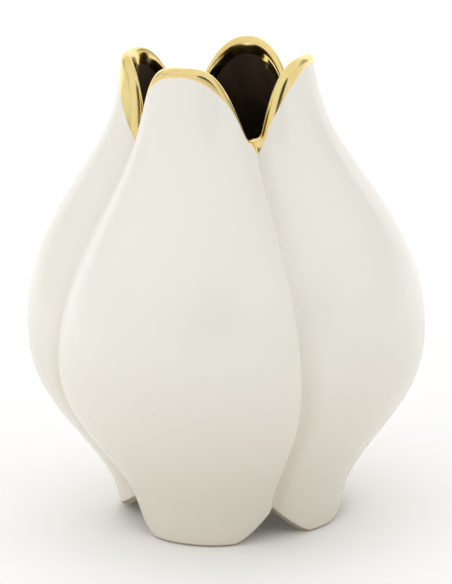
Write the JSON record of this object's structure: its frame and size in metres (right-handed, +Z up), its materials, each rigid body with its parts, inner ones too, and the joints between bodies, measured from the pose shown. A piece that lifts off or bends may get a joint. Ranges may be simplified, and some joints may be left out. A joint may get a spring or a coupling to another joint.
{
  "type": "vase",
  "caption": "Tulip-shaped porcelain vase of overlapping petal walls with gilded lips, a dark glazed inside and a foot under each petal.",
  "frame": {"origin": "on the table plane, under the centre of the vase", "axes": "+Z up, -Y towards the front petal, +X towards the right petal"},
  "size_m": [0.2222, 0.2222, 0.26],
  "materials": {
    "white_glaze": "gloss",
    "gold_lustre": "polished",
    "dark_glaze": "gloss",
    "bare_clay": "matt"
  },
  "bodies": {
    "root": {"petal_front": "white_glaze", "petal_right": "white_glaze", "petal_back": "white_glaze", "petal_left": "white_glaze", "gilded_rim_front": "gold_lustre", "gilded_rim_right": "gold_lustre", "gilded_rim_back": "gold_lustre", "gilded_rim_left": "gold_lustre", "inner_glaze_front": "dark_glaze", "inner_glaze_right": "dark_glaze", "inner_glaze_back": "dark_glaze", "inner_glaze_left": "dark_glaze", "floor_glaze": "dark_glaze", "vessel_floor": "bare_clay", "foot_edge_front": "bare_clay", "foot_edge_right": "bare_clay", "foot_edge_back": "bare_clay", "foot_edge_left": "bare_clay"}
  },
  "joints": []
}
